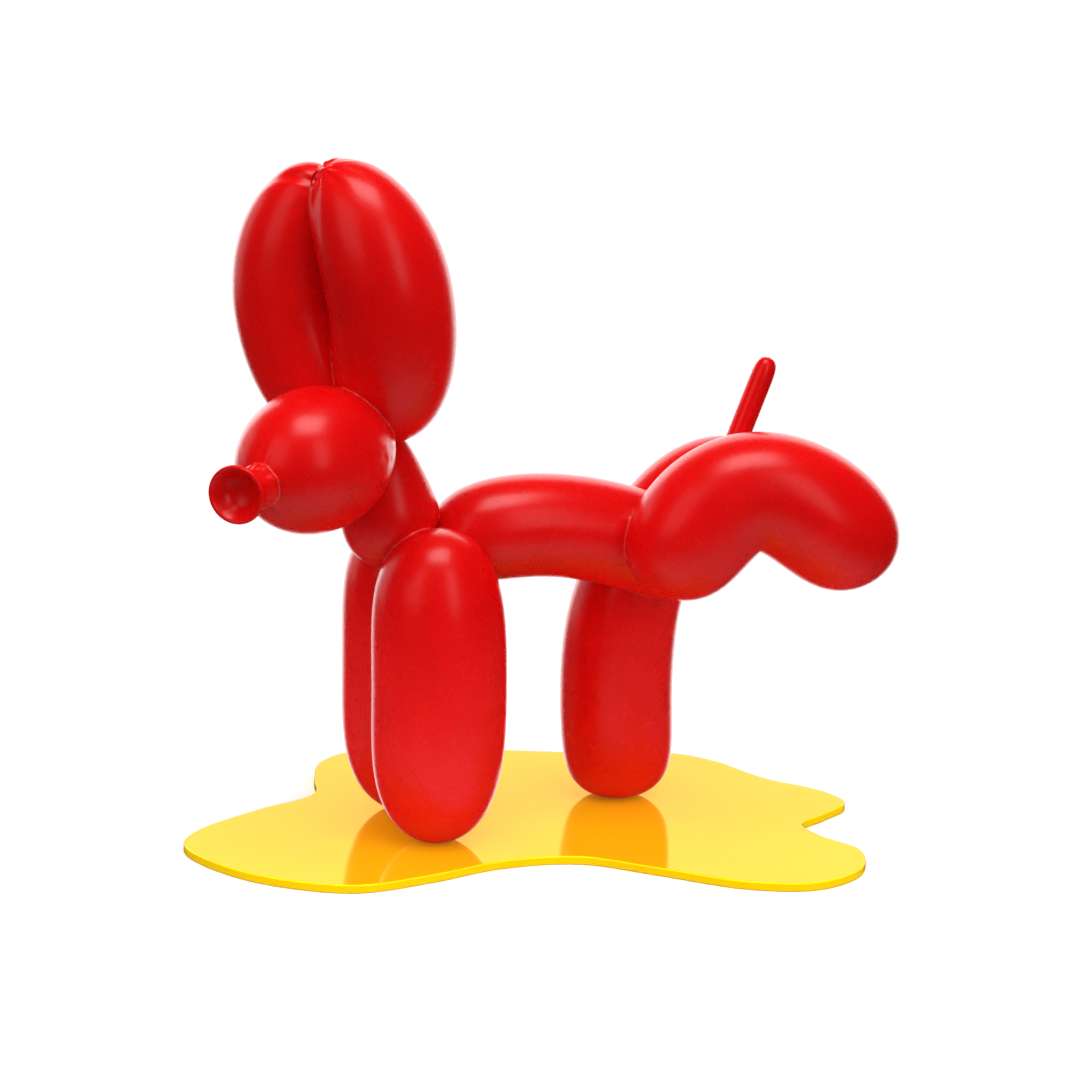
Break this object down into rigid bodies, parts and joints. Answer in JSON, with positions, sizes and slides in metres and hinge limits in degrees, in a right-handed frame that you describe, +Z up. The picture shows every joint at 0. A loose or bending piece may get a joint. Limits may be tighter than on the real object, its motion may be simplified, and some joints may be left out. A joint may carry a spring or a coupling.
{
  "type": "balloon dog figurine",
  "caption": "Glossy cast figure of a twisted-balloon dog with one hind leg raised, standing on a flat puddle-shaped base; a shelf or table ornament.",
  "frame": {"origin": "on the underside of the base, under the middle of the whole object", "axes": "+X from the head to the tail, +Y to the side of the standing hind leg, +Z up"},
  "size_m": [0.2422, 0.1968, 0.2342],
  "materials": {
    "dog_red": "bright red paint on cast resin, satin to gloss, with fine creases and gathers at the twists",
    "puddle_yellow": "polished yellow acrylic sheet, mirror-like on top, with softened edges"
  },
  "bodies": {
    "root": {"dog": "dog_red", "puddle": "puddle_yellow"}
  },
  "joints": []
}
